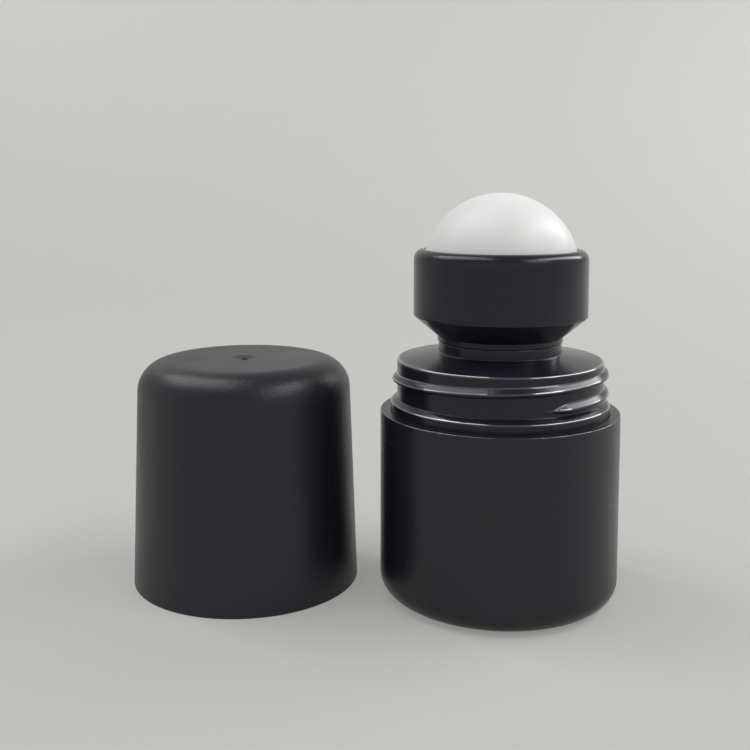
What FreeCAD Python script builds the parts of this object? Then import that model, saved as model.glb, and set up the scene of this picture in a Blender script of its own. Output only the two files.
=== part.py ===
"""Roll-on bottle with its screw cap taken off and stood beside it, as a parametric document.

The matte body is a jar. The glossy applicator plugs into its mouth and is one moulding: collar,
neck for the cap, shoulder, waist and ball cup. The ball is held by the cup's lip, and the cap
stands mouth-down next to the bottle. Millimetres, +Z up, origin on the bottle's axis at the table.
"""
import FreeCAD, Part
import math
import os

import Sketcher

UP = FreeCAD.Vector(0, 0, 1)

# Driving dimensions: name, value in millimetres or degrees, meaning
DIMENSIONS = [
    ("body_diameter", "47", "outside of the matte body"),
    ("body_height", "36.7", "table to the body's top edge"),
    ("body_wall", "2", "wall round the mouth that takes the applicator"),
    ("chamber_wall", "2.8", "wall round the product below the mouth"),
    ("floor_thickness", "2.4", "table to the chamber's floor"),
    ("base_corner", "4", "round between the base and the side"),
    ("chamber_corner", "2.5", "round between the chamber's floor and side"),
    ("edge_break", "0.2", "round on the crisp outer edges of body and cap"),
    ("socket_depth", "7", "depth of the mouth down to the step that stops the plug"),
    ("plug_clearance", "0.05", "radial room between plug and mouth"),
    ("plug_wall", "1.6", "wall of the applicator's plug"),
    ("plug_lead_in", "0.3", "chamfer at the plug's foot"),
    ("bead_height", "0.35", "how far the snap bead stands out of the plug"),
    ("bead_width", "1.4", "snap bead along the axis, at its root"),
    ("bead_rise", "3", "plug's foot to the middle of the snap bead"),
    ("collar_height", "1.7", "body's top edge to the collar's edge"),
    ("collar_step", "1.25", "collar radius less neck radius"),
    ("collar_rise", "0.9", "height of the collar's sloped top"),
    ("neck_height", "8.6", "body's top edge to the end of the neck's straight side"),
    ("neck_wall", "1.7", "wall of the neck"),
    ("neck_edge", "1.5", "round at the top of the neck"),
    ("shoulder_slope", "11.5", "angle of the conical shoulder"),
    ("shoulder_wall", "1.7", "thickness of the shoulder"),
    ("bore_diameter", "20", "passage from the chamber to the ball"),
    ("waist_wall", "2.05", "wall of the waist round that passage"),
    ("waist_fillet", "0.7", "round between shoulder and waist"),
    ("waist_height", "2.25", "shoulder to the cup's foot ring"),
    ("foot_ring_step", "0.2", "foot ring's radius less the waist's"),
    ("foot_ring_height", "1", "foot ring along the axis"),
    ("cup_cone_height", "4", "height of the cup's conical underside"),
    ("cup_corner", "0.4", "round between the cup's side and its underside"),
    ("cup_wall", "1.45", "thinnest wall of the cup, at the ball's middle"),
    ("seat_height", "0.72", "top of the foot ring to the edge of the ball's seat"),
    ("lip_height", "4.34", "ball's middle to the top of the lip"),
    ("rim_round", "2.2", "round from the cup's side to the lip"),
    ("ball_diameter", "30.6", "ball"),
    ("ball_wall", "1.6", "wall of the hollow ball"),
    ("ball_clearance", "0.25", "room between ball and cup"),
    ("thread_height", "0.96", "how far the cap's thread stands out of the neck"),
    ("thread_clearance", "0.54", "room between that thread and the cap's wall"),
    ("cap_wall", "1.3", "side wall of the cap"),
    ("cap_top_wall", "1.64", "top wall of the cap"),
    ("cap_draft", "2.05", "lean of the cap's side"),
    ("cap_corner", "6.1", "round between the cap's side and top"),
    ("cap_headroom", "1.2", "ball to the inside of the cap's top when it is closed"),
    ("dimple_diameter", "6", "shallow dimple in the middle of the cap's top"),
    ("dimple_depth", "0.3", "depth of that dimple"),
    ("press_ring_diameter", "16", "ring inside the cap that holds the ball down, at its outside"),
    ("press_ring_wall", "1.2", "wall of that ring"),
    ("cap_gap", "5.4", "space between the body and the cap that stands beside it"),
    ("cap_bearing", "8.5", "angle from -X towards +Y at which the cap stands"),
]

doc = FreeCAD.newDocument("roll_on_bottle")
sheet = doc.addObject("Spreadsheet::Sheet", "Size")
for row, (alias, value, meaning) in enumerate(DIMENSIONS, start=1):
    sheet.set(f"A{row}", meaning)
    sheet.set(f"B{row}", value)
    sheet.setAlias(f"B{row}", alias)
doc.recompute()


def upright(thickness, slope):
    """A thickness square to a slope, measured along the axis instead."""
    return f"({thickness} / cos({slope}))"


def origin_plane(body, role):
    """One of a body's own origin planes, by its role."""
    for feature in body.Origin.OriginFeatures:
        if feature.Role == role:
            return feature
    raise RuntimeError(f"{body.Name} has no {role}")


def arc_between(start, end, radius, side):
    """Circle arc of less than half a turn from start to end, with its middle on the given side.

    side is +1 where the arc's centre lies to the left of the way from start to end, else -1.
    Returns the arc and whether it runs from start to end (arcs are always drawn anticlockwise).
    """
    chord = end - start
    rise = math.sqrt(radius ** 2 - (chord.Length / 2) ** 2)
    left = FreeCAD.Vector(-chord.y, chord.x, 0).normalize()
    centre = (start + end) / 2 + left * rise * side
    first, last = (start, end) if side > 0 else (end, start)
    first_angle = math.atan2(first.y - centre.y, first.x - centre.x)
    last_angle = math.atan2(last.y - centre.y, last.x - centre.x)
    return Part.ArcOfCircle(Part.Circle(centre, UP, radius), first_angle, last_angle), side > 0


def pin_point(sketch, geometry, position, label, radius, height):
    """Tie one end of a line or arc to a radius and a height, each given as an expression."""
    for axis, kind, name, expression in (
        (-2, "DistanceX", f"{label}_radius", radius),
        (-1, "DistanceY", f"{label}_height", height),
    ):
        if expression == "0":
            sketch.addConstraint(Sketcher.Constraint("PointOnObject", geometry, position, axis))
            continue
        value = float(sketch.evalExpression(expression))
        index = sketch.addConstraint(Sketcher.Constraint(kind, -1, 1, geometry, position, value))
        sketch.renameConstraint(index, name)
        sketch.setExpression(f"Constraints.{name}", expression)


def turned_body(name, section):
    """Turn a closed half-section about the Z axis.

    section lists its corners in order, each as (label, radius, height) in expressions of the sheet.
    A corner may add (arc radius, side): the edge that arrives there is then an arc.
    """
    body = doc.addObject("PartDesign::Body", name)
    body.Label = name
    sketch = body.newObject("Sketcher::SketchObject", f"{name}_section")
    sketch.AttachmentSupport = [(origin_plane(body, "XZ_Plane"), "")]
    sketch.MapMode = "FlatFace"

    def place(corner):
        return FreeCAD.Vector(*(float(sketch.evalExpression(text)) for text in corner[1:3]), 0)

    starts = []
    ends = []
    for before, corner in zip([section[-1]] + section[:-1], section):
        if len(corner) == 3:
            index = sketch.addGeometry(Part.LineSegment(place(before), place(corner)), False)
            starts.append((index, 1))
            ends.append((index, 2))
            continue
        radius, side = corner[3:]
        size = float(sketch.evalExpression(radius))
        arc, forward = arc_between(place(before), place(corner), size, side)
        index = sketch.addGeometry(arc, False)
        starts.append((index, 1 if forward else 2))
        ends.append((index, 2 if forward else 1))
        constraint = sketch.addConstraint(Sketcher.Constraint("Radius", index, size))
        sketch.renameConstraint(constraint, f"{corner[0]}_round")
        sketch.setExpression(f"Constraints.{corner[0]}_round", radius)
    for number, corner in enumerate(section):
        following = (number + 1) % len(section)
        sketch.addConstraint(Sketcher.Constraint("Coincident", *ends[number], *starts[following]))
        pin_point(sketch, *ends[number], *corner[:3])

    turn = body.newObject("PartDesign::Revolution", f"{name}_turn")
    turn.Profile = sketch
    turn.ReferenceAxis = (sketch, ["V_Axis"])
    turn.Angle = 360
    doc.recompute()
    return body


# Heights and radii that pieces share, as expressions of the sheet
BODY_R = "Size.body_diameter / 2"
LEDGE_Z = "Size.body_height"
SOCKET_R = f"({BODY_R} - Size.body_wall)"
STEP_Z = f"({LEDGE_Z} - Size.socket_depth)"
BEAD_Z = f"({STEP_Z} + Size.bead_rise)"
PLUG_R = f"({SOCKET_R} - Size.plug_clearance)"
COLLAR_Z = f"({LEDGE_Z} + Size.collar_height)"
NECK_R = f"({PLUG_R} - Size.collar_step)"
NECK_TOP_Z = f"({LEDGE_Z} + Size.neck_height)"
BORE_R = "Size.bore_diameter / 2"
WAIST_R = f"({BORE_R} + Size.waist_wall)"
SLOPE = "Size.shoulder_slope"
SHOULDER_R = f"({NECK_R} - Size.neck_edge * (1 - sin({SLOPE})))"
SHOULDER_Z = f"({NECK_TOP_Z} + Size.neck_edge * cos({SLOPE}))"


def shoulder_height(radius):
    """Height of the conical shoulder at a radius."""
    return f"({SHOULDER_Z} + ({SHOULDER_R} - {radius}) * tan({SLOPE}))"


RING_Z = f"({shoulder_height(WAIST_R)} + Size.waist_height)"
CONE_Z = f"({RING_Z} + Size.foot_ring_height)"
RING_R = f"({WAIST_R} + Size.foot_ring_step)"
BALL_R = "Size.ball_diameter / 2"
SEAT_R = f"({BALL_R} + Size.ball_clearance)"
SEAT_Z = f"({CONE_Z} + Size.seat_height)"
BALL_Z = f"({SEAT_Z} + sqrt({SEAT_R}^2 - ({BORE_R})^2))"
CUP_R = f"({SEAT_R} + Size.cup_wall)"
RIM_Z = f"({BALL_Z} + Size.lip_height)"
CAP_BORE_R = f"({NECK_R} + Size.thread_height + Size.thread_clearance)"
CAP_R = f"({CAP_BORE_R} + Size.cap_wall)"


def make_body():
    """Matte jar: flat base with a rounded edge, straight side, stepped mouth for the plug."""
    chamber_r = f"({BODY_R} - Size.chamber_wall)"
    groove_r = f"({SOCKET_R} + Size.bead_height)"
    groove_half = "(Size.bead_width / 2 + Size.plug_clearance)"
    return turned_body("body", [
        ("base_middle", "0", "0"),
        ("base_edge", f"{BODY_R} - Size.base_corner", "0"),
        ("side_foot", BODY_R, "Size.base_corner", "Size.base_corner", 1),
        ("side_top", BODY_R, f"{LEDGE_Z} - Size.edge_break"),
        ("ledge_outside", f"{BODY_R} - Size.edge_break", LEDGE_Z, "Size.edge_break", 1),
        ("ledge_inside", SOCKET_R, LEDGE_Z),
        ("groove_top", SOCKET_R, f"{BEAD_Z} + {groove_half}"),
        ("groove_upper", groove_r, f"{BEAD_Z} + {groove_half} - Size.bead_height"),
        ("groove_lower", groove_r, f"{BEAD_Z} - {groove_half} + Size.bead_height"),
        ("groove_foot", SOCKET_R, f"{BEAD_Z} - {groove_half}"),
        ("step_outside", SOCKET_R, STEP_Z),
        ("step_inside", chamber_r, STEP_Z),
        ("chamber_side", chamber_r, "Size.floor_thickness + Size.chamber_corner"),
        ("chamber_floor", f"{chamber_r} - Size.chamber_corner", "Size.floor_thickness",
         "Size.chamber_corner", -1),
        ("floor_middle", "0", "Size.floor_thickness"),
    ])


def make_applicator():
    """Glossy moulding: plug with snap bead, collar, neck, shoulder, waist and ball cup."""
    plug_inside = f"({PLUG_R} - Size.plug_wall)"
    neck_inside = f"({NECK_R} - Size.neck_wall)"
    bead_r = f"({PLUG_R} + Size.bead_height)"
    bead_half = "Size.bead_width / 2"
    fillet_r = f"({WAIST_R} + Size.waist_fillet)"
    fillet_z = f"({shoulder_height(fillet_r)} + {upright('Size.waist_fillet', SLOPE)})"
    shoulder_wall = upright("Size.shoulder_wall", SLOPE)
    cone_run = f"({CUP_R} - {RING_R})"
    cone_length = f"sqrt({cone_run}^2 + Size.cup_cone_height^2)"
    cone_cos = f"({cone_run} / {cone_length})"
    cone_sin = f"(Size.cup_cone_height / {cone_length})"
    corner_z = f"({CONE_Z} + Size.cup_cone_height + Size.cup_corner * (1 - {cone_sin}) / {cone_cos})"
    lip_r = f"sqrt({SEAT_R}^2 - Size.lip_height^2)"
    rim_start = f"({RIM_Z} - sqrt(Size.rim_round^2 - (Size.rim_round - {CUP_R} + {lip_r})^2))"
    return turned_body("applicator", [
        ("plug_foot_inside", plug_inside, STEP_Z),
        ("plug_foot", f"{PLUG_R} - Size.plug_lead_in", STEP_Z),
        ("plug_side", PLUG_R, f"{STEP_Z} + Size.plug_lead_in"),
        ("bead_foot", PLUG_R, f"{BEAD_Z} - {bead_half}"),
        ("bead_lower", bead_r, f"{BEAD_Z} - {bead_half} + Size.bead_height"),
        ("bead_upper", bead_r, f"{BEAD_Z} + {bead_half} - Size.bead_height"),
        ("bead_top", PLUG_R, f"{BEAD_Z} + {bead_half}"),
        ("collar_edge", PLUG_R, COLLAR_Z),
        ("neck_foot", NECK_R, f"{COLLAR_Z} + Size.collar_rise"),
        ("neck_top", NECK_R, NECK_TOP_Z),
        ("shoulder_edge", SHOULDER_R, SHOULDER_Z, "Size.neck_edge", 1),
        ("shoulder_end", f"{fillet_r} - Size.waist_fillet * sin({SLOPE})",
         f"{fillet_z} - Size.waist_fillet * cos({SLOPE})"),
        ("waist_foot", WAIST_R, fillet_z, "Size.waist_fillet", -1),
        ("waist_top", WAIST_R, RING_Z),
        ("ring_foot", RING_R, RING_Z),
        ("ring_top", RING_R, CONE_Z),
        ("cone_top", f"{CUP_R} - Size.cup_corner * (1 - {cone_sin})",
         f"{corner_z} - Size.cup_corner * {cone_cos}"),
        ("cup_foot", CUP_R, corner_z, "Size.cup_corner", 1),
        ("cup_top", CUP_R, rim_start),
        ("lip", lip_r, RIM_Z, "Size.rim_round", 1),
        ("seat", BORE_R, SEAT_Z, SEAT_R, -1),
        ("bore_foot", BORE_R, f"{shoulder_height(BORE_R)} - {shoulder_wall}"),
        ("neck_ceiling", neck_inside, f"{shoulder_height(neck_inside)} - {shoulder_wall}"),
        ("neck_inner_foot", neck_inside, COLLAR_Z),
        ("plug_inner_top", plug_inside, LEDGE_Z),
    ])


def make_ball():
    """Hollow ball, held in the cup with even room all round."""
    shell = []
    for name, radius in (("ball_outside", BALL_R), ("ball_inside", f"{BALL_R} - Size.ball_wall")):
        sphere = doc.addObject("Part::Sphere", name)
        sphere.setExpression("Radius", radius)
        sphere.setExpression("Placement.Base.z", BALL_Z)
        shell.append(sphere)
    ball = doc.addObject("Part::Cut", "ball")
    ball.Label = "ball"
    ball.Base, ball.Tool = shell
    doc.recompute()
    return ball


def make_cap():
    """Matte screw cap, standing mouth-down: leaning side, round shoulder, press ring inside."""
    draft = "Size.cap_draft"
    ball_in_cap = f"({BALL_Z} - {LEDGE_Z})"
    ceiling = f"({ball_in_cap} + {BALL_R} + Size.cap_headroom)"
    height = f"({ceiling} + Size.cap_top_wall)"
    inner_corner = "(Size.cap_corner - Size.cap_wall)"
    ring_r = "Size.press_ring_diameter / 2"
    ring_inside = f"({ring_r} - Size.press_ring_wall)"
    ring_z = f"({ball_in_cap} + sqrt(({BALL_R})^2 - {ring_inside}^2))"
    dimple_r = "Size.dimple_diameter / 2"
    dimple_round = f"(({dimple_r})^2 + Size.dimple_depth^2) / (2 * Size.dimple_depth)"

    def corner_centre(mouth_r, top, corner):
        """Middle of a round that meets both the leaning side and the flat top."""
        z = f"({top} - {corner})"
        return f"({mouth_r} - {z} * tan({draft}) - {corner} / cos({draft}))", z

    outer_r, outer_z = corner_centre(CAP_R, height, "Size.cap_corner")
    inner_r, inner_z = corner_centre(CAP_BORE_R, ceiling, inner_corner)
    cap = turned_body("cap", [
        ("mouth_inside", CAP_BORE_R, "0"),
        ("mouth_outside", f"{CAP_R} - Size.edge_break", "0"),
        ("side_foot", f"{CAP_R} - Size.edge_break * tan({draft})", "Size.edge_break"),
        ("side_top", f"{outer_r} + Size.cap_corner * cos({draft})",
         f"{outer_z} + Size.cap_corner * sin({draft})"),
        ("top_edge", outer_r, height, "Size.cap_corner", 1),
        ("dimple_edge", dimple_r, height),
        ("dimple_middle", "0", f"{height} - Size.dimple_depth", dimple_round, -1),
        ("ceiling_middle", "0", ceiling),
        ("ring_root_inside", ring_inside, ceiling),
        ("ring_foot_inside", ring_inside, ring_z),
        ("ring_foot_outside", ring_r, ring_z),
        ("ring_root_outside", ring_r, ceiling),
        ("ceiling_edge", inner_r, ceiling),
        ("inner_side_top", f"{inner_r} + {inner_corner} * cos({draft})",
         f"{inner_z} + {inner_corner} * sin({draft})", inner_corner, -1),
    ])
    distance = f"({BODY_R} + Size.cap_gap + {CAP_R})"
    cap.setExpression("Placement.Base.x", f"-{distance} * cos(Size.cap_bearing)")
    cap.setExpression("Placement.Base.y", f"{distance} * sin(Size.cap_bearing)")
    doc.recompute()
    return cap


pieces = [make_body(), make_applicator(), make_ball(), make_cap()]

for thing in doc.Objects:
    if "Invalid" in thing.State or "Error" in thing.State:
        raise RuntimeError(f"{thing.Label} failed: {thing.State}")
for piece in pieces:
    if piece.Shape.isNull() or not piece.Shape.isValid():
        raise RuntimeError(f"{piece.Label} has no valid shape")

os.makedirs("parts", exist_ok=True)
for piece in pieces:
    piece.Shape.exportStep(f"parts/{piece.Label}.step")
    box = piece.Shape.optimalBoundingBox()
    print(f"{piece.Label}: {piece.Shape.Volume / 1000:.2f} ml of material,",
          f"x {box.XMin:.2f} to {box.XMax:.2f}, y {box.YMin:.2f} to {box.YMax:.2f},",
          f"z {box.ZMin:.2f} to {box.ZMax:.2f}")
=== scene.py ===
# %% [markdown]
# # A roll-on bottle, turned with numpy
#
# The object is a short roll-on bottle with its screw cap taken off and stood beside it. Every piece of
# it is round, so one idea makes them all: an outline is carried round an upright axis. The CAD model
# says where each piece is and how big, and this lesson adds what a mould and a hand leave on it: the
# screw thread, the mould seam, the gate marks, the grain of the plastic and a little wear.

import bpy
import numpy as np
from mathutils import Matrix, Vector


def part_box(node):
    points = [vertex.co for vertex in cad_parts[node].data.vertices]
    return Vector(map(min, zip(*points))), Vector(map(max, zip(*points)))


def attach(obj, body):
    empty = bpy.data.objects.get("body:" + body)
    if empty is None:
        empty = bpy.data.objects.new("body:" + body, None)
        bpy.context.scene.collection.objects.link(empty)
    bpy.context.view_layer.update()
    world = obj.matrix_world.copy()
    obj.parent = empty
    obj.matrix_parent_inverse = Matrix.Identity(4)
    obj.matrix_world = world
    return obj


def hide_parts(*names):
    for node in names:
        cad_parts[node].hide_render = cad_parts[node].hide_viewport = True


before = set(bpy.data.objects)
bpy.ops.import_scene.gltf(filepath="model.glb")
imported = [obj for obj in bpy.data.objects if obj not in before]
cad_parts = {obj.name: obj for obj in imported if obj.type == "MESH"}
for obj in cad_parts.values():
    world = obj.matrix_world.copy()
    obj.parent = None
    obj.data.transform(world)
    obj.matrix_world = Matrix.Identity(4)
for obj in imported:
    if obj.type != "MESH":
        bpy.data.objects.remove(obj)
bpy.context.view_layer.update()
MM = 0.001
TURN = 2 * np.pi

# %% [markdown]
# ## Sizes come from the frame
#
# A box round a turned piece already gives its radius, its height and its axis, so these are read from
# the CAD nodes and not typed again. Sizes below are in millimetres, because a maker thinks in them,
# and the mesh helper turns them into Blender's metres.

# %% Read the main sizes


def box_in_mm(node):
    """Lowest and highest corner of a CAD node, as two arrays in millimetres."""
    low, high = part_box(node)
    return np.array(low) / MM, np.array(high) / MM


_, body_high = box_in_mm("body")
applicator_low, applicator_high = box_in_mm("applicator")
ball_low, ball_high = box_in_mm("ball")
cap_low, cap_high = box_in_mm("cap")

body_radius = body_high[0]
ledge_height = body_high[2]
plug_foot = applicator_low[2]
rim_height = applicator_high[2]
ball_radius = (ball_high[2] - ball_low[2]) / 2
ball_middle = (ball_high[2] + ball_low[2]) / 2
cap_axis = (cap_low[:2] + cap_high[:2]) / 2
cap_radius = (cap_high[0] - cap_low[0]) / 2
cap_height = cap_high[2]
bottle_axis = np.zeros(2)
print(f"body {body_radius:.2f} mm in radius, ball {ball_radius:.2f},",
      f"cap {cap_radius:.2f} and {cap_height:.2f} high")

# %% [markdown]
# ## An outline with rounded corners
#
# No moulded edge is perfectly sharp, and the thin line of light along a rounded edge is what makes
# plastic look like plastic. Blender's Bevel modifier could round the finished mesh, but here the
# outline itself is rounded, because then each edge gets its own radius and its own number of points.

# %% Round an outline
ARC_STEP = np.radians(9)
EDGE_MARGINS = (0.07, 0.21)
MARGIN_ROOM = 4
SOFT_ROUND = 1.95
EDGE_FADE = 0.08
FULL_TILT = 0.5


def ease(share):
    """Smooth step from 0 to 1: 3 s^2 - 2 s^3 with s held between 0 and 1."""
    share = np.clip(share, 0, 1)
    return share * share * (3 - 2 * share)


def straight_points(start, end, step):
    """Points between two ends, every step or closer, with some near the ends so that edges stay crisp.

    Those near the ends lie a margin away, where the stretch has room for some such margins.
    """
    length = np.hypot(*(end - start))
    shares = np.linspace(0, 1, int(np.ceil(length / step)) + 1)[1:-1]
    margins = [margin / length for margin in EDGE_MARGINS if length > MARGIN_ROOM * margin]
    margins = np.array(margins)
    if len(margins):
        inside = np.abs(shares - 0.5) < 0.5 - margins[-1] * MARGIN_ROOM / 2
        shares = np.sort(np.concatenate((margins, shares[inside], 1 - margins)))
    return start + shares[:, None] * (end - start)


def corner_arc(before, corner, after, radius, step):
    """Arc that rounds a corner.

    With a and b the directions to the neighbours and w the angle between them, the arc touches both sides
    radius / tan(w / 2) from the corner, and its middle lies radius / sin(w / 2) away along a + b.
    """
    a, b = ((side - corner) / np.hypot(*(side - corner)) for side in (before, after))
    half = np.arccos(np.clip(a @ b, -1, 1)) / 2
    middle = corner + (a + b) / np.hypot(*(a + b)) * radius / np.sin(half)
    first, last = (corner + side * radius / np.tan(half) - middle for side in (a, b))
    swing = np.arctan2(first[0] * last[1] - first[1] * last[0], first @ last)
    count = int(np.ceil(max(abs(swing) / ARC_STEP, abs(swing) * radius / step))) + 1
    bearing = np.arctan2(first[1], first[0]) + np.linspace(0, swing, count)
    return middle + radius * np.column_stack((np.cos(bearing), np.sin(bearing)))


def rounded_outline(corners):
    """Outline through corners of (radius, height, round, step), as points of (radius, height, edge).

    Corners with a round become arcs, and straight stretches get a point every step of the corner that
    they lead to. Where an arc stands out, which is a left turn, and looks up, edge says how tight it is:
    its strength is 1 - round / soft round, this fades along the outline as 2 ** -(distance / fade) ** 2,
    and it is weighted by tilt, which is how fast the outline leads inwards.
    """
    corners = np.array(corners, float)
    places, rounds, steps = corners[:, :2], corners[:, 2], corners[:, 3]
    arcs = [places[:1]]
    for before, here, after, size, step in zip(places, places[1:], places[2:], rounds[1:], steps[1:]):
        arcs.append(corner_arc(before, here, after, size, step) if size > 0 else here[None])
    arcs.append(places[-1:])
    sides = np.diff(places, axis=0)
    sides /= np.hypot(*sides.T)[:, None]
    stands_out = sides[:-1, 0] * sides[1:, 1] > sides[:-1, 1] * sides[1:, 0]
    edged = np.append(stands_out, False) & (rounds[1:] > 0)
    tight = np.where(edged, np.maximum(1 - rounds[1:] / SOFT_ROUND, 0), 0)
    stretches = [arcs[0]]
    tightness = [np.zeros(1)]
    for before, arc, arc_edge, step in zip(arcs, arcs[1:], tight, steps[1:]):
        between = straight_points(before[-1], arc[0], step)
        stretches += [between, arc]
        tightness += [np.zeros(len(between)), np.full(len(arc), arc_edge)]
    points, strength = np.concatenate(stretches), np.concatenate(tightness)
    along = np.concatenate(([0], np.cumsum(np.hypot(*np.diff(points, axis=0).T))))
    nearness = 2 ** -((along[:, None] - along) / EDGE_FADE) ** 2
    tilt = -np.gradient(points[:, 0], along)
    return np.column_stack((points, (strength * nearness).max(axis=1) * ease(tilt / FULL_TILT)))


sample = rounded_outline([(10, 0, 0, 1), (10, 8, 0.3, 1), (0, 8, 0, 1)])
print("a rounded corner as an outline:", len(sample), "points, edge up to", sample[:, 2].max().round(2))

# %% [markdown]
# ## The lathe
#
# A turned surface is a grid with two parameters: how far along the outline, and how far round the axis.
# Blender has a Screw modifier for this, but a grid worked out in numpy lets the radius change with the
# angle as well, which is how the thread and the mould seam are cut in later. Where the outline reaches
# the axis, the whole row of the grid is one point, so that the pole is closed without sliver faces.

# %% Turn an outline into a mesh


def turned_mesh(name, radius, height, angles, axis, edge, closed=False):
    """Surface of a radius and a height carried round an upright axis.

    Formula: x = axis x + radius cos(angle), y = axis y + radius sin(angle), z = height. radius and
    height have a row for each point of the outline and may change with the angle. A closed outline joins
    its last row to its first, and an open one starts and ends on the axis. edge is kept as a point
    attribute.
    """
    radius, height, angles, edge = np.broadcast_arrays(radius, height, angles, edge)
    x = axis[0] + radius * np.cos(angles)
    y = axis[1] + radius * np.sin(angles)
    points = np.stack((x, y, height), axis=-1)
    index = np.arange(radius.size).reshape(radius.shape)
    if not closed:
        index[0] = index[0, 0]
        index[-1] = index[-1, 0]
    used, index = np.unique(index, return_inverse=True)
    index = index.reshape(radius.shape)
    index = np.vstack((index, index[:1])) if closed else index
    after = np.roll(index, -1, axis=1)
    quads = np.stack((index[:-1], after[:-1], after[1:], index[1:]), axis=-1).reshape(-1, 4)
    first_fan = quads[:, 0] == quads[:, 1]
    last_fan = quads[:, 2] == quads[:, 3]
    faces = quads[~first_fan & ~last_fan].tolist()
    faces += quads[first_fan][:, 1:].tolist() + quads[last_fan][:, :3].tolist()
    mesh = bpy.data.meshes.new(name)
    mesh.from_pydata((points.reshape(-1, 3)[used] * MM).tolist(), [], faces)
    mesh.shade_smooth()
    rub_and_sheen = mesh.attributes.new("edge", "FLOAT", "POINT")
    rub_and_sheen.data.foreach_set("value", edge.ravel()[used].astype(np.float32))
    return mesh


def place_piece(mesh, node, body):
    """Put a mesh into the scene as the piece that stands for a CAD node."""
    piece = bpy.data.objects.new(mesh.name, mesh)
    bpy.context.scene.collection.objects.link(piece)
    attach(piece, body)
    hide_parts(node)
    triangles = sum(len(face.vertices) - 2 for face in mesh.polygons)
    print(f"{piece.name}: {triangles} triangles, stands for {node} on {body}")
    return piece


def even_angles(count):
    """Angles of a grid's columns, the same step apart all round."""
    return np.arange(count) * TURN / count


print("columns of a coarse grid:", np.degrees(even_angles(8)), "degrees")

# %% [markdown]
# ## The body
#
# The body is a plain matte jar. Its outline starts on the axis under the base, runs out and up the side,
# over the flat ring that shows round the collar, down the mouth that the applicator plugs into, and
# ends on the axis again, on the floor of the chamber. Going this way round, the faces point outwards.

# %% Body sizes and mesh
MOUTH_WALL = 2.0
CHAMBER_WALL = 2.8
FLOOR_THICKNESS = 2.4
BASE_ROUND = 4.0
CHAMBER_ROUND = 2.5
CRISP_EDGE = 0.2
MOUTH_EDGE = 0.12
STEP_EDGE = 0.1
BEAD_HEIGHT = 0.35
BEAD_WIDTH = 1.4
BEAD_RISE = 3.0
PLUG_ROOM = 0.05
BASE_GATE_RADIUS = 1.7
BASE_GATE_DEPTH = 0.25
BASE_GATE_EDGE = 0.1
BODY_COLUMNS = 256
LONG_STEP = 3.0
COARSE_STEP = 1.5
FINE_STEP = 0.3

mouth_radius = body_radius - MOUTH_WALL
chamber_radius = body_radius - CHAMBER_WALL
bead_middle = plug_foot + BEAD_RISE
groove_half = BEAD_WIDTH / 2 + PLUG_ROOM

body_outline = rounded_outline([
    (0, BASE_GATE_DEPTH, 0, FINE_STEP),
    (BASE_GATE_RADIUS - BASE_GATE_DEPTH, BASE_GATE_DEPTH, BASE_GATE_EDGE, FINE_STEP),
    (BASE_GATE_RADIUS, 0, BASE_GATE_EDGE, FINE_STEP),
    (body_radius, 0, BASE_ROUND, COARSE_STEP),
    (body_radius, ledge_height, CRISP_EDGE, COARSE_STEP),
    (mouth_radius, ledge_height, MOUTH_EDGE, FINE_STEP),
    (mouth_radius, bead_middle + groove_half, 0, COARSE_STEP),
    (mouth_radius + BEAD_HEIGHT, bead_middle + groove_half - BEAD_HEIGHT, 0, COARSE_STEP),
    (mouth_radius + BEAD_HEIGHT, bead_middle - groove_half + BEAD_HEIGHT, 0, COARSE_STEP),
    (mouth_radius, bead_middle - groove_half, 0, COARSE_STEP),
    (mouth_radius, plug_foot, 0, COARSE_STEP),
    (chamber_radius, plug_foot, STEP_EDGE, COARSE_STEP),
    (chamber_radius, FLOOR_THICKNESS, CHAMBER_ROUND, LONG_STEP),
    (0, FLOOR_THICKNESS, 0, LONG_STEP),
])
radius, height, edge = body_outline.T[:, :, None]
body_mesh = turned_mesh("matte_body", radius, height, even_angles(BODY_COLUMNS), bottle_axis, edge)
body = place_piece(body_mesh, "body", "bottle")

# %% [markdown]
# ## The applicator
#
# The glossy moulding on top is one piece: a plug that snaps into the body, a collar, the neck for the
# cap, a low conical shoulder, a waist, and the cup that holds the ball. First comes its plain outline,
# outside from the plug up to the lip and inside from the ball's seat down to the plug again.

# %% Applicator outline
PLUG_WALL = 1.6
PLUG_LEAD_IN = 0.3
COLLAR_HEIGHT = 1.7
COLLAR_STEP = 1.25
COLLAR_RISE = 0.9
COLLAR_EDGE = 0.35
NECK_HEIGHT = 10.15
NECK_WALL = 1.7
NECK_FOOT_ROUND = 0.3
NECK_EDGE = 0.45
SHOULDER_RISE = 1.33
SHOULDER_WALL = 1.7
BORE_RADIUS = 10.0
WAIST_WALL = 2.05
WAIST_ROUND = 0.35
WAIST_HEIGHT = 2.25
FOOT_RING_STEP = 0.2
FOOT_RING_HEIGHT = 1.0
RING_FOOT_EDGE = 0.1
RING_TOP_EDGE = 0.12
RING_GROOVE = 0.22
GROOVE_EDGE = 0.08
GROOVE_ROOT = 0.05
CUP_CONE_HEIGHT = 4.0
CUP_CORNER = 0.4
CUP_WALL = 1.45
BALL_ROOM = 0.25
RIM_ROUND = 1.95
LIP_ROUND = 0.08
SEAT_POINTS = 34
THREAD_STEP = 0.085

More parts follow.
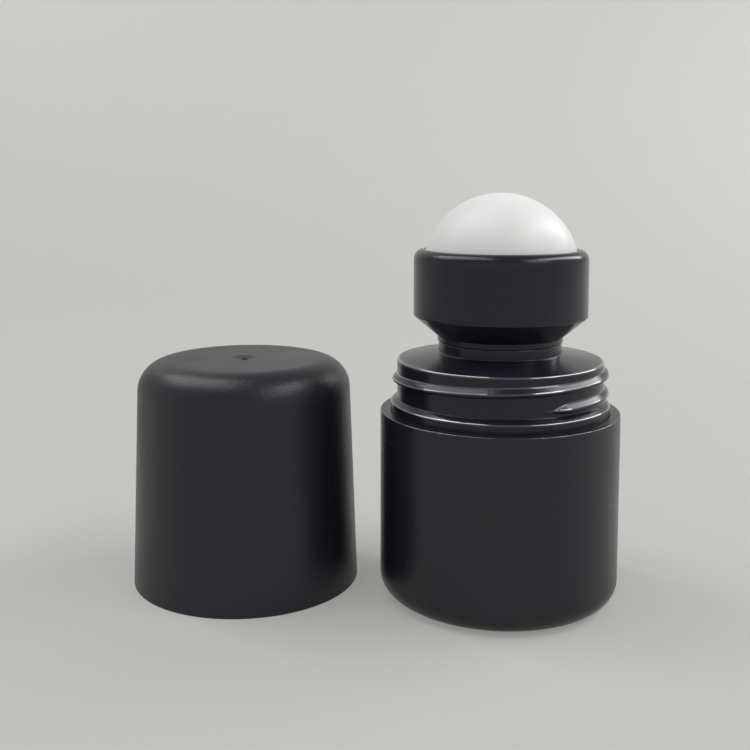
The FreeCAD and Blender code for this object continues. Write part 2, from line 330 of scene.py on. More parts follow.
plug_radius = mouth_radius - PLUG_ROOM
collar_height = ledge_height + COLLAR_HEIGHT
neck_radius = plug_radius - COLLAR_STEP
neck_foot = collar_height + COLLAR_RISE
neck_top = ledge_height + NECK_HEIGHT
waist_radius = BORE_RADIUS + WAIST_WALL
shoulder_slope = SHOULDER_RISE / (neck_radius - waist_radius)
ring_radius = waist_radius + FOOT_RING_STEP
seat_radius = ball_radius + BALL_ROOM
cup_radius = seat_radius + CUP_WALL
lip_rise = rim_height - ball_middle
lip_radius = np.sqrt(seat_radius ** 2 - lip_rise ** 2)
seat_drop = np.sqrt(seat_radius ** 2 - BORE_RADIUS ** 2)


def shoulder_at(radius):
    """Height of the conical shoulder at a radius."""
    return neck_top + (neck_radius - radius) * shoulder_slope


ring_foot = shoulder_at(waist_radius) + WAIST_HEIGHT
cone_foot = ring_foot + FOOT_RING_HEIGHT
shoulder_wall = SHOULDER_WALL * np.hypot(1, shoulder_slope)
neck_bore = neck_radius - NECK_WALL
plug_bore = plug_radius - PLUG_WALL

seat_height = np.linspace(lip_rise, -seat_drop, SEAT_POINTS)
seat_width = np.sqrt(seat_radius ** 2 - seat_height ** 2)
seat_points = np.column_stack((seat_width, ball_middle + seat_height))

outside = rounded_outline([
    (plug_bore, plug_foot, 0, LONG_STEP),
    (plug_radius - PLUG_LEAD_IN, plug_foot, 0, LONG_STEP),
    (plug_radius, plug_foot + PLUG_LEAD_IN, 0, LONG_STEP),
    (plug_radius, bead_middle - BEAD_WIDTH / 2, 0, LONG_STEP),
    (plug_radius + BEAD_HEIGHT, bead_middle - BEAD_WIDTH / 2 + BEAD_HEIGHT, 0, LONG_STEP),
    (plug_radius + BEAD_HEIGHT, bead_middle + BEAD_WIDTH / 2 - BEAD_HEIGHT, 0, LONG_STEP),
    (plug_radius, bead_middle + BEAD_WIDTH / 2, 0, LONG_STEP),
    (plug_radius, collar_height, COLLAR_EDGE, COARSE_STEP),
    (neck_radius, neck_foot, NECK_FOOT_ROUND, FINE_STEP),
    (neck_radius, neck_top, NECK_EDGE, THREAD_STEP),
    (waist_radius, shoulder_at(waist_radius), WAIST_ROUND, COARSE_STEP),
    (waist_radius, ring_foot - RING_GROOVE, GROOVE_EDGE, COARSE_STEP),
    (waist_radius - RING_GROOVE, ring_foot, GROOVE_ROOT, FINE_STEP),
    (ring_radius, ring_foot, RING_FOOT_EDGE, FINE_STEP),
    (ring_radius, cone_foot, RING_TOP_EDGE, FINE_STEP),
    (cup_radius, cone_foot + CUP_CONE_HEIGHT, CUP_CORNER, COARSE_STEP),
    (cup_radius, rim_height, RIM_ROUND, COARSE_STEP),
    (lip_radius, rim_height, LIP_ROUND, FINE_STEP),
    (*seat_points[1], 0, LONG_STEP),
])
inside = rounded_outline([
    (*seat_points[-1], 0, LONG_STEP),
    (BORE_RADIUS, shoulder_at(BORE_RADIUS) - shoulder_wall, 0, LONG_STEP),
    (neck_bore, shoulder_at(neck_bore) - shoulder_wall, 0, LONG_STEP),
    (neck_bore, collar_height, 0, LONG_STEP),
    (plug_bore, ledge_height, 0, LONG_STEP),
])
seat = np.insert(seat_points[2:-1], 2, 0, axis=1)
applicator_outline = np.vstack((outside, seat, inside))
print(f"applicator outline: {len(applicator_outline)} points, neck {neck_top:.2f} mm up,",
      f"cup {cup_radius:.2f} mm in radius, lip {lip_radius:.2f}")

# %% [markdown]
# ## The screw thread
#
# The cap's thread is a ridge that winds about once and a quarter round the neck. It could be a separate
# swept tube pushed into the wall, but on the real moulding it is the wall itself that stands out. So the
# thread is a formula for the radius over angle and height, and the neck takes the larger of its own
# radius and the thread's, blended a little so that the root is filleted. The same formula tells where
# the lines of light lie, just off the crest and at the root, where the lamps' reflections fall. The
# material gives them a polished coat, and in patches lightens their colour, which is a painted highlight.

# %% Thread formula
PITCH = 3.6
THREAD_HEIGHT = 0.96
THREAD_CREST = 0.03
THREAD_ROUND = 0.26
ROOT_FILLET = 0.25
BEARING_STEEPNESS = 3.0
LINE_RISE = 0.27
LINE_FADE = 0.08


def smooth_larger(a, b, blend):
    """The larger of two values, with a fillet of size blend where they meet."""
    return np.maximum(a, b) + np.maximum(blend - np.abs(a - b), 0) ** 2 / (4 * blend)


def thread_ridge(angles, height, start, first_height, turns, lead, depth, bearing):
    """How far a thread stands out of its wall, over angle and height, and where its lines of polish and
    painted sheen lie.

    With t the turns since the start, the crest is at first_height + pitch * t. Beside the crest the
    ridge falls at 45 degrees from a rounded top, and steeper on the side that bears the pull of the
    screwed joint: above for a bearing of 1, below for -1. Over lead turns at each end it rises out of the
    wall, and negative values lie in the wall. The lines are 1 just off the crest and at the root, on the
    sloping side, where the lamps' reflections fall, and fade as 2 ** -(distance / fade) ** 2. They give
    the coat its place and lighten the colour there in patches, which is a painted highlight.
    """
    ridge = np.full(np.broadcast_shapes(angles.shape, height.shape), -depth)
    polish_and_sheen_lines = np.zeros(ridge.shape)
    for lap in range(int(np.ceil(turns))):
        t = (angles - start) % TURN / TURN + lap
        off_crest = (first_height + PITCH * t - height) * bearing
        beside = np.hypot(off_crest, THREAD_ROUND) - THREAD_ROUND
        fall = np.maximum(beside - THREAD_CREST, 0) * np.where(off_crest < 0, BEARING_STEEPNESS, 1)
        size = ease(t / lead) * ease((turns - t) / lead)
        coil = (depth + ROOT_FILLET) * size - ROOT_FILLET - fall
        for distance in (off_crest - LINE_RISE, coil):
            polish_and_sheen_lines = np.maximum(polish_and_sheen_lines, size * (off_crest > 0) * 2 ** -(distance / LINE_FADE) ** 2)
        ridge = np.maximum(ridge, coil)
    return ridge, polish_and_sheen_lines


print("level wall and thread are lifted by their fillet:", smooth_larger(0, 0, ROOT_FILLET), "mm")

# %% [markdown]
# ## Cut the thread and the mould seam into the neck
#
# The mould that makes the applicator opens in two halves, and where they meet a hair-thin ridge is left
# from the collar to the lip. It breaks the lines of light along the edges. The grid's columns
# crowd together there, so that the ridge is real geometry and the rest of the grid stays light.

# %% Applicator mesh
THREAD_START = np.radians(-75)
THREAD_FIRST = 40.22
THREAD_TURNS = 1.284
THREAD_LEAD = 0.05
SEAM_ANGLE = np.radians(257.5)
SEAM_HEIGHT = 0.055
SEAM_WIDTH = 0.08
SEAM_REACH = np.radians(0.9)
SEAM_COLUMNS = 15
APPLICATOR_COLUMNS = 280
ANGLE_DIGITS = 5
THREAD_FADE = 0.6

seams = np.array([SEAM_ANGLE, SEAM_ANGLE + np.pi])
crowded = (seams[:, None] + np.linspace(-SEAM_REACH, SEAM_REACH, SEAM_COLUMNS)).ravel()
all_angles = np.concatenate((even_angles(APPLICATOR_COLUMNS), crowded)) % TURN
applicator_angles = np.unique(np.round(all_angles, ANGLE_DIGITS))

radius, height, edge = applicator_outline.T[:, :, None]
on_outside = np.arange(len(applicator_outline))[:, None] < len(outside)
on_neck = on_outside & (height > collar_height) & (height < neck_top - NECK_EDGE)
on_neck &= radius > neck_radius - ROOT_FILLET
ridge, polish_and_sheen_lines = thread_ridge(applicator_angles, height, THREAD_START, THREAD_FIRST, THREAD_TURNS,
                            THREAD_LEAD, THREAD_HEIGHT, bearing=-1)
thread_share = np.where(on_neck, ease((neck_top - NECK_EDGE - height) / THREAD_FADE), 0)
threaded = smooth_larger(radius, neck_radius + ridge, ROOT_FILLET)
applicator_radius = radius + thread_share * (threaded - radius)
# The thread's lines join the edge values: they give a polished coat, and a lighter colour along them in
# patches, which is a painted highlight.
edge = np.maximum(edge, thread_share * polish_and_sheen_lines)

apart = np.abs((applicator_angles - seams[:, None] + np.pi) % TURN - np.pi).min(axis=0)
seam = SEAM_HEIGHT * np.exp(-(apart * radius / SEAM_WIDTH) ** 2)
applicator_radius = applicator_radius + np.where(on_outside & (height > ledge_height), seam, 0)

applicator_mesh = turned_mesh("gloss_applicator", applicator_radius, height, applicator_angles,
                              bottle_axis, edge, closed=True)
applicator = place_piece(applicator_mesh, "applicator", "bottle")

# %% [markdown]
# ## The ball
#
# The ball is ground true, so it has no seam. A grid of latitude and longitude gives it, with the poles
# closed by the lathe. It turns in the cup, so nothing on it may depend on where it stands.

# %% Ball mesh
BALL_ROWS = 121
BALL_COLUMNS = 240

latitude = np.linspace(-np.pi / 2, np.pi / 2, BALL_ROWS)[:, None]
ball_widths = ball_radius * np.cos(latitude)
ball_heights = ball_middle + ball_radius * np.sin(latitude)
no_edge = np.zeros((1, 1))
ball_mesh = turned_mesh("satin_ball", ball_widths, ball_heights, even_angles(BALL_COLUMNS), bottle_axis,
                        no_edge)
ball = place_piece(ball_mesh, "ball", "ball")

# %% [markdown]
# ## The cap
#
# The cap stands mouth-down. Its outline starts under the ceiling, runs round the press ring that holds
# the ball down when the cap is on, down the inside, round the mouth, up the leaning side, over the
# generous top round and into the shallow dimple, where the mould's gate has left a mark with a pit.

# %% Cap outline
CAP_WALL = 1.3
CAP_TOP_WALL = 1.64
CAP_LEAN = np.tan(np.radians(2.05))
CAP_CORNER = 6.1
CAP_MOUTH_EDGE = 0.15
CAP_THREAD_TOP = 10.0
CAP_THREAD_STEP = 0.12
DIMPLE_RADIUS = 3.0
DIMPLE_FLOOR_RADIUS = 1.5
DIMPLE_DEPTH = 0.3
DIMPLE_ROUND = 1.2
GATE_RADIUS = 0.6
GATE_TOP_RADIUS = 0.54
GATE_HEIGHT = 0.28
GATE_ROOT = 0.05
GATE_EDGE = 0.04
GATE_PIT_RADIUS = 0.38
GATE_PIT_FLOOR_RADIUS = 0.28
GATE_PIT_DEPTH = 0.35
PRESS_RING_RADIUS = 8.0
PRESS_RING_WALL = 1.2
PRESS_RING_ROOT = 0.3
PRESS_RING_EDGE = 0.2

ceiling = cap_height - CAP_TOP_WALL
dimple_floor = cap_height - DIMPLE_DEPTH
cap_bore = cap_radius - CAP_WALL
ring_bore = PRESS_RING_RADIUS - PRESS_RING_WALL
press_ring_foot = ball_middle - ledge_height + np.sqrt(ball_radius ** 2 - ring_bore ** 2)

cap_inside = [
    (0, ceiling, 0, LONG_STEP),
    (ring_bore, ceiling, PRESS_RING_ROOT, LONG_STEP),
    (ring_bore, press_ring_foot, PRESS_RING_EDGE, COARSE_STEP),
    (PRESS_RING_RADIUS, press_ring_foot, PRESS_RING_EDGE, COARSE_STEP),
    (PRESS_RING_RADIUS, ceiling, PRESS_RING_ROOT, COARSE_STEP),
    (cap_bore - CAP_LEAN * ceiling, ceiling, CAP_CORNER - CAP_WALL, LONG_STEP),
    (cap_bore - CAP_LEAN * CAP_THREAD_TOP, CAP_THREAD_TOP, 0, LONG_STEP),
    (cap_bore, 0, CAP_MOUTH_EDGE, CAP_THREAD_STEP),
]
cap_outside = [
    (cap_radius, 0, CRISP_EDGE, FINE_STEP),
    (cap_radius - CAP_LEAN * cap_height, cap_height, CAP_CORNER, COARSE_STEP),
    (DIMPLE_RADIUS, cap_height, DIMPLE_ROUND, COARSE_STEP),
    (DIMPLE_FLOOR_RADIUS, dimple_floor, DIMPLE_ROUND, FINE_STEP),
    (GATE_RADIUS, dimple_floor, GATE_ROOT, FINE_STEP),
    (GATE_TOP_RADIUS, dimple_floor + GATE_HEIGHT, GATE_EDGE, FINE_STEP),
    (GATE_PIT_RADIUS, dimple_floor + GATE_HEIGHT, GATE_EDGE, FINE_STEP),
    (GATE_PIT_FLOOR_RADIUS, dimple_floor - GATE_PIT_DEPTH, GATE_EDGE, FINE_STEP),
    (0, dimple_floor - GATE_PIT_DEPTH, 0, FINE_STEP),
]
cap_outline = rounded_outline(cap_inside + cap_outside)
print(f"cap outline: {len(cap_outline)} points, ceiling {ceiling:.2f} mm up,",
      f"press ring foot {press_ring_foot:.2f}")

# %% [markdown]
# ## The cap's thread
#
# Inside the cap, a second thread answers the neck's. When the cap is on, its mouth stands on the body's
# flat ring, so heights in the cap count from there, and its thread lies half a pitch lower than the
# neck's, so that the ridges pass each other. The same formula gives it, with the signs turned round,
# because this ridge stands inwards.

# %% Cap mesh
CAP_THREAD_HEIGHT = 0.9
CAP_COLUMNS = 240
WALL_TOLERANCE = 0.02

cap_angles = even_angles(CAP_COLUMNS)
radius, height, edge = cap_outline.T[:, :, None]
wall = cap_bore - CAP_LEAN * height
on_inside = (np.abs(radius - wall) < WALL_TOLERANCE) & (height < CAP_THREAD_TOP)
cap_thread_first = THREAD_FIRST - ledge_height - PITCH / 2
ridge, _ = thread_ridge(cap_angles, height, THREAD_START, cap_thread_first, THREAD_TURNS, THREAD_LEAD,
                        CAP_THREAD_HEIGHT, bearing=1)
threaded = -smooth_larger(-radius, ridge - wall, ROOT_FILLET)
cap_mesh = turned_mesh("matte_cap", np.where(on_inside, threaded, radius), height, cap_angles, cap_axis,
                       edge)
cap = place_piece(cap_mesh, "cap", "cap")

# %% [markdown]
# ## Nodes, the short way
#
# Materials here are made of nodes, and a few helpers keep the code readable: one adds a node with its
# settings, one joins two sockets, one blends two colours. Effects that several plastics share are node
# groups, built once and placed in each material with values of its own.

# %% Node helpers
BLEND_FACTOR = 0
BLEND_FIRST = 6
BLEND_SECOND = 7
BLEND_RESULT = 2


def add_node(tree, kind, values=None, **settings):
    """A new node with its settings, and values for its unlinked inputs."""
    node = tree.nodes.new(kind)
    for name, setting in settings.items():
        setattr(node, name, setting)
    for socket, value in (values or {}).items():
        node.inputs[socket].default_value = value
    return node


def join(tree, source, output, target, socket):
    """Link an output of one node to an input of another."""
    tree.links.new(source.outputs[output], target.inputs[socket])


def colour_blend(tree, first, second):
    """Mix node between two colours. Its sockets go by number, because several share a name."""
    tones = {BLEND_FIRST: (*first, 1), BLEND_SECOND: (*second, 1)}
    return add_node(tree, "ShaderNodeMix", tones, data_type="RGBA")


def new_group(name, inputs, outputs):
    """An empty node group with float or vector sockets, and its input and output nodes."""
    group = bpy.data.node_groups.new(name, "ShaderNodeTree")
    for socket, default in inputs.items():
        kind = "NodeSocketVector" if default is None else "NodeSocketFloat"
        made = group.interface.new_socket(socket, in_out="INPUT", socket_type=kind)
        if default is not None:
            made.default_value = default
    for socket in outputs:
        group.interface.new_socket(socket, in_out="OUTPUT", socket_type="NodeSocketFloat")
    return group, group.nodes.new("NodeGroupInput"), group.nodes.new("NodeGroupOutput")


print("node helpers are ready")

# %% [markdown]
# ## Shared effect: moulded grain
#
# A matte mould is blasted with grit, and the plastic copies it as a fine grain, a few tenths of a
# millimetre across. Under it lies a slow cloudiness, where the melt cooled a little faster or slower.
# The group puts out a height for a Bump node and a cloud that varies roughness and colour.

# %% Moulded grain group


def make_moulded_grain():
    """Two noises of different size: grain as a height and cloud as a value from 0 to 1."""
    inputs = {"Vector": None, "Grains per metre": 8000.0, "Clouds per metre": 60.0}
    group, start, end = new_group("moulded_grain", inputs, ["Height", "Cloud"])
    grain = add_node(group, "ShaderNodeTexNoise", {"Detail": 2.0, "Roughness": 0.6})
    cloud = add_node(group, "ShaderNodeTexNoise", {"Detail": 3.0, "Roughness": 0.55})
    for noise, scale in ((grain, "Grains per metre"), (cloud, "Clouds per metre")):
        join(group, start, "Vector", noise, "Vector")
        join(group, start, scale, noise, "Scale")
    join(group, grain, "Fac", end, "Height")
    join(group, cloud, "Fac", end, "Cloud")
    return group


moulded_grain = make_moulded_grain()
print("group:", moulded_grain.name, [socket.name for socket in moulded_grain.interface.items_tree])

# %% [markdown]
# ## Shared effect: handling
#
# A piece that has been picked up carries faint smears and a few specks of dust. Smears are a noise
# stretched upwards and cut off softly, so most of the surface has none. Specks are the
# centres of scattered cells, and only a few cells are let through.

# %% Handling group


def make_handling():
    """Smears and specks, each as a value from 0 to 1.

    A smear is stretched noise with a soft threshold. A speck is the middle of a cell, in the few cells
    whose own random value is under the share.
    """
    inputs = {"Vector": None, "Smears per metre": 45.0, "Specks per metre": 260.0, "Speck share": 0.1}
    group, start, end = new_group("handling", inputs, ["Smear", "Specks"])
    stretch = add_node(group, "ShaderNodeMapping", {"Scale": (1.0, 1.0, 0.35)})
    noise = add_node(group, "ShaderNodeTexNoise", {"Detail": 4.0, "Roughness": 0.6, "Distortion": 0.4})
    soft = add_node(group, "ShaderNodeMapRange", {"From Min": 0.5, "From Max": 0.75},
                    interpolation_type="SMOOTHSTEP")
    cells = add_node(group, "ShaderNodeTexVoronoi")
    lucky = add_node(group, "ShaderNodeMath", operation="LESS_THAN")
    split = add_node(group, "ShaderNodeSeparateColor")
    near = add_node(group, "ShaderNodeMapRange", {"From Min": 0.09, "From Max": 0.05},
                    interpolation_type="SMOOTHSTEP")
    both = add_node(group, "ShaderNodeMath", operation="MULTIPLY")
    join(group, start, "Vector", stretch, "Vector")
    join(group, stretch, "Vector", noise, "Vector")
    join(group, start, "Smears per metre", noise, "Scale")
    join(group, noise, "Fac", soft, "Value")
    join(group, soft, "Result", end, "Smear")
    join(group, start, "Vector", cells, "Vector")
    join(group, start, "Specks per metre", cells, "Scale")
    join(group, cells, "Color", split, "Color")
    join(group, split, "Red", lucky, 0)
    join(group, start, "Speck share", lucky, 1)
    join(group, cells, "Distance", near, "Value")
    join(group, near, "Result", both, 0)
    join(group, lucky, "Value", both, 1)
    join(group, both, "Value", end, "Specks")
    return group


handling = make_handling()
print("group:", handling.name, [socket.name for socket in handling.interface.items_tree])

# %% [markdown]
# ## Shared effect: rubbed edges and painted sheen
#
# Edges that look up are what a hand and a cloth touch first. The meshes carry an attribute that is near
# 1 on the tightest of them, and this group breaks it up with noise, so that wear comes and goes along
# an edge. On the applicator the attribute also holds the thread's lines of light, so there the rub is
# a painted highlight as well as wear.

# %% Rubbed edge and sheen group


def make_rub_and_sheen_edge():
    """Edge value times a soft threshold of noise."""
    inputs = {"Vector": None, "Edge": 0.0, "Rubs per metre": 700.0}
    group, start, end = new_group("rub_and_sheen_edge", inputs, ["Rub"])
    noise = add_node(group, "ShaderNodeTexNoise", {"Detail": 5.0, "Roughness": 0.7})
    wear_and_sheen = add_node(group, "ShaderNodeMapRange", {"From Min": 0.48, "From Max": 0.72})
    rub_and_sheen = add_node(group, "ShaderNodeMath", operation="MULTIPLY")
    join(group, start, "Vector", noise, "Vector")
    join(group, start, "Rubs per metre", noise, "Scale")
    join(group, noise, "Fac", wear_and_sheen, "Value")
    join(group, wear_and_sheen, "Result", rub_and_sheen, 0)
    join(group, start, "Edge", rub_and_sheen, 1)
    join(group, rub_and_sheen, "Value", end, "Rub")
    return group


rub_and_sheen_edge = make_rub_and_sheen_edge()
print("group:", rub_and_sheen_edge.name, [socket.name for socket in rub_and_sheen_edge.interface.items_tree])

# %% [markdown]
# ## One recipe for moulded plastic
#
# All four plastics are the same family, so one function wires them: colour from a base tone, shifted a
# little by dust and rubbed edges, and along the applicator's thread lines by a painted highlight;
# roughness from a base value, moved by cloud, smears and rubs; a coat on the edges, which the mould's
# polish and use have burnished; and a bump from the grain. Values that are the same all over go
# straight on the shader's sockets.

# %% Moulded plastic
COAT_ROUGHNESS = 0.09
COAT_IOR = 2.4
WEAR_AND_SHEEN_SHARE = 0.5


def weighted_sum(tree, base, parts):
    """base + the sum of weight * value over the parts, as a chain of multiply-add nodes.

    A part is (node, output, weight). A multiply-add node gives input 0 * input 1 + input 2.
    """
    total = None
    for source, output, weight in parts:
        step = add_node(tree, "ShaderNodeMath", {1: weight, 2: base}, operation="MULTIPLY_ADD")
        join(tree, source, output, step, 0)
        if total:
            join(tree, total, "Value", step, 2)
        total = step
    return total


def moulded_plastic(name, tone, worn_and_sheen_tone, roughness, burnish, grain_size, grain_depth, marks,
                    **shader_values):
    """Material of a moulded plastic.

    tone is its colour, and the worn tone is the colour of dust, of rubbed edges and, along the thread's
    lines, of a painted highlight. roughness is (base, cloud, smear, rub): the roughness and how much each
    effect moves it. burnish is (edge, rub): how much of a polished coat an edge gets by its tightness and
    by rubbing. Grain sizes are in millimetres. marks gives (smears per metre, specks per metre, share of
    specks).
    """
    material = bpy.data.materials.new(name)
    material.use_nodes = True
    tree = material.node_tree
    shader = tree.nodes["Principled BSDF"]
    for socket, value in shader_values.items():
        shader.inputs[socket.replace("_", " ")].default_value = value
    place = add_node(tree, "ShaderNodeTexCoord")
    grain = add_node(tree, "ShaderNodeGroup", node_tree=moulded_grain)
    touch = add_node(tree, "ShaderNodeGroup", node_tree=handling)
    rub_and_sheen = add_node(tree, "ShaderNodeGroup", node_tree=rub_and_sheen_edge)
    edge_value = add_node(tree, "ShaderNodeAttribute", attribute_name="edge")
    grain.inputs["Grains per metre"].default_value = 1 / (grain_size * MM)
    for socket, value in zip(("Smears per metre", "Specks per metre", "Speck share"), marks):
        touch.inputs[socket].default_value = value
    for group in (grain, touch, rub_and_sheen):
        join(tree, place, "Object", group, "Vector")
    join(tree, edge_value, "Fac", rub_and_sheen, "Edge")

    # Dust specks and rubbed edges lighten the colour. On the applicator the rub also follows the thread's
    # lines of light, so there the lighter colour is a painted highlight.
    wear_and_sheen = weighted_sum(tree, 0.0, [(touch, "Specks", WEAR_AND_SHEEN_SHARE), (rub_and_sheen, "Rub", WEAR_AND_SHEEN_SHARE)])
    colour = colour_blend(tree, tone, worn_and_sheen_tone)
    join(tree, wear_and_sheen, "Value", colour, BLEND_FACTOR)
    join(tree, colour, BLEND_RESULT, shader, "Base Color")

    base, cloud_share, smear_share, rub_share = roughness
    rough = weighted_sum(tree, base, [(grain, "Cloud", cloud_share), (touch, "Smear", smear_share),
                                      (rub_and_sheen, "Rub", rub_share)])
    join(tree, rough, "Value", shader, "Roughness")
    edge_share, rubbed_share = burnish
    coat = weighted_sum(tree, 0.0, [(edge_value, "Fac", edge_share), (rub_and_sheen, "Rub", rubbed_share)])
    coat.use_clamp = True
    join(tree, coat, "Value", shader, "Coat Weight")
    shader.inputs["Coat Roughness"].default_value = COAT_ROUGHNESS
    shader.inputs["Coat IOR"].default_value = COAT_IOR
    bump = add_node(tree, "ShaderNodeBump", {"Strength": 1.0, "Distance": grain_depth * MM})
    join(tree, grain, "Height", bump, "Height")
    join(tree, bump, "Normal", shader, "Normal")
    return material


print("the plastic recipe is ready, with a coat of roughness", COAT_ROUGHNESS)

# %% [markdown]
# ## Four finishes
#
# Body and cap are the same black, but the cap's grain is coarser and its sheen softer. The applicator is
# polished, so it has almost no grain and a strong coat on its edges. The ball is white and lets a little
# light in under its surface, which softens its dark side. Each could have a network of its own, but as
# values of one recipe they are easy to compare.

# %% The four plastics
BLACK = (0.0115, 0.0113, 0.0168)
GLOSS_BLACK = (0.0098, 0.0104, 0.0180)
# The worn black is the colour of dust and rubbed edges, and on the applicator's thread lines it is a
# painted highlight.
WORN_AND_SHEEN_BLACK = (0.035, 0.035, 0.036)
WHITE = (0.80, 0.80, 0.785)
SOILED_WHITE = (0.70, 0.695, 0.67)

body_matte = moulded_plastic(
    "body_matte", BLACK, WORN_AND_SHEEN_BLACK, roughness=(0.22, 0.12, 0.05, -0.06), burnish=(0.3, 0.6),
    grain_size=0.3, grain_depth=0.028, marks=(45.0, 260.0, 0.06), Specular_IOR_Level=0.42)
cap_matte = moulded_plastic(
    "cap_matte", BLACK, WORN_AND_SHEEN_BLACK, roughness=(0.29, 0.14, 0.06, -0.06), burnish=(0.1, 0.5),
    grain_size=0.45, grain_depth=0.055, marks=(40.0, 240.0, 0.08), Specular_IOR_Level=0.46)
applicator_gloss = moulded_plastic(
    "applicator_gloss", GLOSS_BLACK, WORN_AND_SHEEN_BLACK, roughness=(0.19, 0.06, 0.05, 0.02), burnish=(1.3, 0.0),
    grain_size=1.6, grain_depth=0.002, marks=(60.0, 300.0, 0.03), Specular_IOR_Level=0.40)
ball_satin = moulded_plastic(
    "ball_satin", WHITE, SOILED_WHITE, roughness=(0.31, 0.12, 0.05, 0.0), burnish=(0.0, 0.0),
    grain_size=0.3, grain_depth=0.02, marks=(70.0, 320.0, 0.0), Specular_IOR_Level=0.4,
    Subsurface_Weight=0.2, Subsurface_Scale=0.002)

pieces = (body, cap, applicator, ball)
plastics = (body_matte, cap_matte, applicator_gloss, ball_satin)
for piece, material in zip(pieces, plastics):
    piece.data.materials.append(material)
    print(piece.name, "is", material.name)

# %% [markdown]
# ## The stage
#
# The bottle stands on a pale sweep: a floor that curves up into a wall, so that no horizon shows. It is a
# profile carried along the X axis, and it isn't part of the object.

# %% Floor and backdrop
SWEEP_FRONT = -2.5
SWEEP_BACK = 0.45
SWEEP_ROUND = 0.6
SWEEP_HALF_WIDTH = 2.0
SWEEP_HEIGHT = 1.3
BEND_POINTS = 25


def make_sweep():
    """Profile y, z of floor, quarter circle and wall, carried along X from side to side."""
    bend = np.linspace(0, np.pi / 2, BEND_POINTS)
    wall = SWEEP_BACK + SWEEP_ROUND
    y = np.concatenate(([SWEEP_FRONT], SWEEP_BACK + SWEEP_ROUND * np.sin(bend), [wall]))
    z = np.concatenate(([0], SWEEP_ROUND * (1 - np.cos(bend)), [SWEEP_HEIGHT]))
    x = np.array([-SWEEP_HALF_WIDTH, SWEEP_HALF_WIDTH])
    points = np.stack(np.broadcast_arrays(x, y[:, None], z[:, None]), axis=-1).reshape(-1, 3)
    row = np.arange(len(y) - 1)[:, None] * 2
    mesh = bpy.data.meshes.new("sweep")
    mesh.from_pydata(points.tolist(), [], (row + np.array([0, 1, 3, 2])).tolist())
    mesh.shade_smooth()
    return mesh


sweep = bpy.data.objects.new("sweep", make_sweep())
bpy.context.scene.collection.objects.link(sweep)
print("sweep:", len(sweep.data.polygons), "faces")

# %% [markdown]
# ## The paper
#
# To the camera, and in reflections, part of the paper glows as a lit studio paper does, which keeps the
# shadows pale. The Light Path node tells which rays ask. Light that bounces off the paper onto the
# object doesn't see the glow.

# %% Paper material
SWEEP_TONE = (0.485, 0.481, 0.464)
PAPER_ROUGHNESS = 0.85
GLOW_TONE = (0.59, 0.585, 0.559)
GLOW_SHARE = 0.4


def make_paper():
    """Plain matte paper, mixed with its glow for camera, glossy and transmission rays."""
    material = bpy.data.materials.new("sweep_paper")
    material.use_nodes = True
    tree = material.node_tree
    plain = tree.nodes["Principled BSDF"]
    plain.inputs["Base Color"].default_value = (*SWEEP_TONE, 1)
    plain.inputs["Roughness"].default_value = PAPER_ROUGHNESS
    glow = add_node(tree, "ShaderNodeEmission", {"Color": (*GLOW_TONE, 1)})
    ray = add_node(tree, "ShaderNodeLightPath")
    camera_or_glossy = add_node(tree, "ShaderNodeMath", operation="MAXIMUM")
    any_of_them = add_node(tree, "ShaderNodeMath", operation="MAXIMUM")
    glow_share = add_node(tree, "ShaderNodeMath", {1: GLOW_SHARE}, operation="MULTIPLY")
    mixed = add_node(tree, "ShaderNodeMixShader")
    join(tree, ray, "Is Camera Ray", camera_or_glossy, 0)
    join(tree, ray, "Is Glossy Ray", camera_or_glossy, 1)
    join(tree, camera_or_glossy, "Value", any_of_them, 0)
    join(tree, ray, "Is Transmission Ray", any_of_them, 1)
    join(tree, any_of_them, "Value", glow_share, 0)
    join(tree, glow_share, "Value", mixed, 0)
    join(tree, plain, "BSDF", mixed, 1)
    join(tree, glow, "Emission", mixed, 2)
    join(tree, mixed, "Shader", tree.nodes["Material Output"], "Surface")
    return material


sweep.data.materials.append(make_paper())
print("sweep is", sweep.data.materials[0].name)

# %% [markdown]
# ## Lamps
#
# The bright lines along the glossy edges are mirror images of lamps, so the lamps are placed by asking
# where each line looks. Strips overhead on the left and right draw thin lines with a gap between them,
# dimmer panels beside them draw the soft bands on the rounds of the cup and the cap, and a window on the
# right lights the thread's upper flanks and the ball. Two more lamps, with a narrower beam, only wash the
# backdrop.

# %% Lamps
LIT_POINT = Vector((0, 0, 0.05))
LEFT_WALL = Vector((-0.45, 1.05, 0.55))
RIGHT_WALL = Vector((0.50, 0.90, 0.20))
FULL_SPREAD = np.pi
WASH_SPREAD = np.radians(90)

# Name, start and end of the middle line, width, brightness, and for a wash its target and spread
LAMPS = (
    ("left_strip", (-0.10, 0.00, 1.04), (-0.85, 0.62, 1.04), 0.07, 12.5),
    ("left_panel", (-0.15, -0.42, 1.08), (-1.10, 0.36, 1.08), 0.36, 3.1),
    ("right_strip", (0.45, -0.52, 1.04), (0.95, -0.25, 1.04), 0.10, 8.4),
    ("right_panel", (0.60, -1.00, 1.04), (1.40, -0.80, 1.04), 0.30, 3.1),
    ("window", (0.57, -0.20, 0.90), (0.75, 0.62, 0.40), 0.25, 5.9),
    ("left_wash", (-0.95, 0.35, 0.95), (-0.55, 0.35, 0.95), 0.20, 4.6, LEFT_WALL, WASH_SPREAD),
    ("right_wash", (0.45, 0.45, 1.00), (0.85, 0.45, 1.00), 0.20, 4.2, RIGHT_WALL, WASH_SPREAD),
)


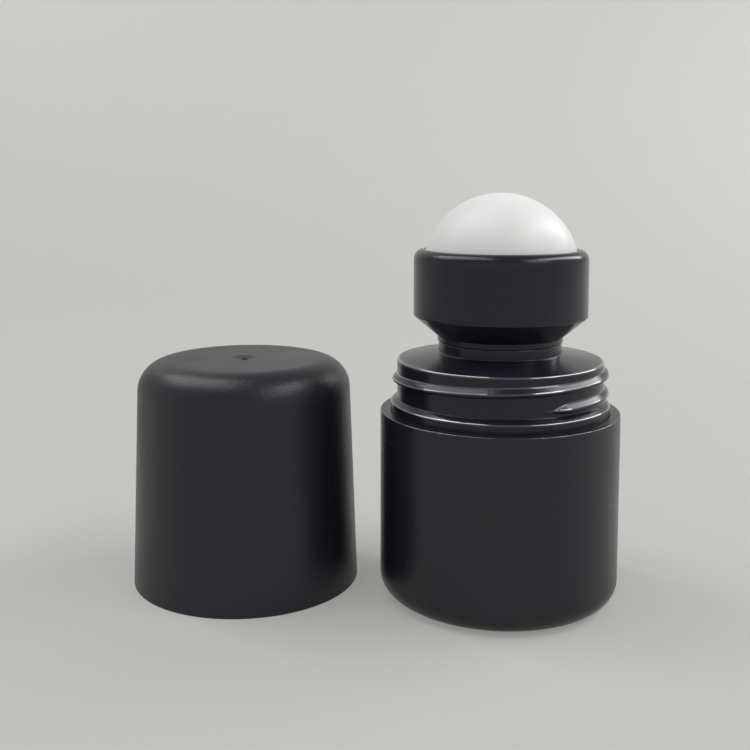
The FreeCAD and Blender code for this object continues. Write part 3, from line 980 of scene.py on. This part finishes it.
def soft_box(name, start, end, width, brightness, target=LIT_POINT, spread=FULL_SPREAD):
    """Area lamp whose middle line runs from start to end, facing a target.

    Its Z axis points away from the target, its X axis follows the middle line, and Y completes them.
    Sizes are in metres. A flat lamp of even brightness gives brightness * pi * area watts.
    """
    start, end = Vector(start), Vector(end)
    place = (start + end) / 2
    back = (place - target).normalized()
    line = end - start
    along = (line - line.dot(back) * back).normalized()
    lamp = bpy.data.lights.new(name, "AREA")
    lamp.shape = "RECTANGLE"
    lamp.size = line.length
    lamp.size_y = width
    lamp.energy = brightness * np.pi * line.length * width
    lamp.spread = spread
    holder = bpy.data.objects.new(name, lamp)
    holder.location = place
    holder.rotation_euler = Matrix((along, back.cross(along), back)).transposed().to_euler()
    bpy.context.scene.collection.objects.link(holder)
    return holder


lamps = [soft_box(*lamp) for lamp in LAMPS]
print("lamps:", [lamp.name for lamp in lamps])

# %% [markdown]
# ## The room
#
# A grey room fills in what the lamps leave dark. It is darker overhead, so that the gaps between the
# bright lines stay dark. The colours are shown as they are, without a film curve.

# %% Room and view
ROOM_TONE = (0.62, 0.62, 0.635)
CEILING_TONE = (0.22, 0.22, 0.23)

world = bpy.context.scene.world or bpy.data.worlds.new("room")
bpy.context.scene.world = world
world.use_nodes = True
room = world.node_tree
direction = add_node(room, "ShaderNodeTexCoord")
upwards = add_node(room, "ShaderNodeSeparateXYZ")
tone = colour_blend(room, ROOM_TONE, CEILING_TONE)
join(room, direction, "Generated", upwards, "Vector")
join(room, upwards, "Z", tone, BLEND_FACTOR)
join(room, tone, BLEND_RESULT, room.nodes["Background"], "Color")
bpy.context.scene.view_settings.view_transform = "Standard"
print("room from", ROOM_TONE, "to", CEILING_TONE, "overhead")

# %% [markdown]
# ## Camera
#
# The camera was found by fitting the rims of the pieces, which are circles at known heights, to the
# ellipses that they make in the photograph. The picture is cut a little low out of the lens's circle,
# which is what the vertical shift says.

# %% Camera
CAMERA_PLACE = (-24.59, -199.56, 82.81)
CAMERA_PITCH = np.radians(5.588)
SENSOR = 36.0
FOCAL_PIXELS = 1023.53
PICTURE_PIXELS = 750
CENTRE_RISE_PIXELS = 100.07
CLIP_START = 0.01

lens = bpy.data.cameras.new("camera")
lens.sensor_width = SENSOR
lens.lens = FOCAL_PIXELS / PICTURE_PIXELS * SENSOR
lens.shift_y = -CENTRE_RISE_PIXELS / PICTURE_PIXELS
lens.clip_start = CLIP_START
camera = bpy.data.objects.new("camera", lens)
camera.location = Vector(CAMERA_PLACE) * MM
camera.rotation_euler = (np.pi / 2 - CAMERA_PITCH, 0, 0)
bpy.context.scene.collection.objects.link(camera)
bpy.context.scene.camera = camera
print(f"camera: {lens.lens:.2f} mm lens, shift {lens.shift_y:.4f}")

# %% [markdown]
# ## Size and finish
#
# The dressed object has to fill the same box as the CAD model.

# %% Sizes and finish
print("sizes come from the CAD boxes")
